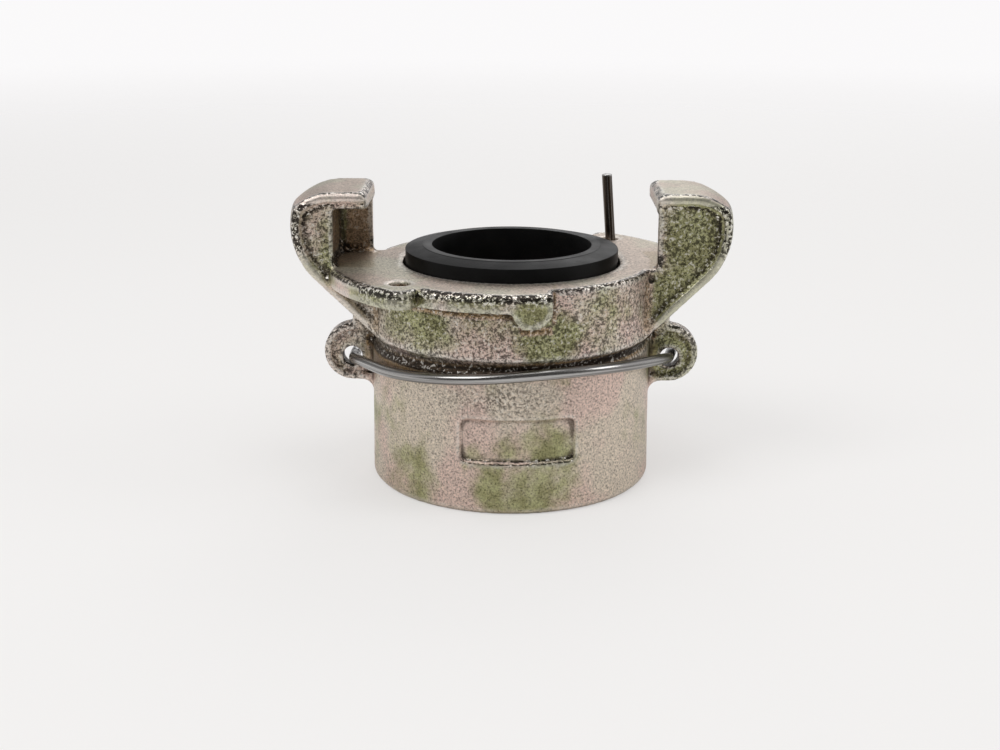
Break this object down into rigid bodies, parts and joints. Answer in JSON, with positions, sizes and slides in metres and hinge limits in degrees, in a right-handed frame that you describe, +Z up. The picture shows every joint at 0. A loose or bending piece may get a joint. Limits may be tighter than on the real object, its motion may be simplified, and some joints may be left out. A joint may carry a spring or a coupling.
{
  "type": "claw hose coupling with female pipe thread",
  "caption": "Cast twist-lock claw coupling half with a female pipe thread below, a rubber face seal on top and a sprung wire safety pin.",
  "frame": {"origin": "centre of the bottom face, on the axis of the threaded bore", "axes": "+Z up the waterway towards the seal, +X through the claw whose pocket is closed towards -Y, -Y towards the recessed panel on the skirt"},
  "size_m": [0.1028, 0.0761, 0.0689],
  "materials": {
    "plated_casting": "yellow zinc plating over a rough sand casting",
    "seal_rubber": "smooth black moulded rubber",
    "spring_wire": "bright drawn spring wire"
  },
  "bodies": {
    "coupling": {"coupling_body": "plated_casting", "seal_ring": "seal_rubber"},
    "spring": {"safety_spring": "spring_wire"}
  },
  "joints": [
    {"name": "pin_slide", "type": "slide", "parent": "coupling", "child": "spring", "axis": [-0.0758, 0, 0.9971], "range_m": [-0.013, 0], "stiffness_N_per_m": 900, "deforming": ["safety_spring"]}
  ]
}
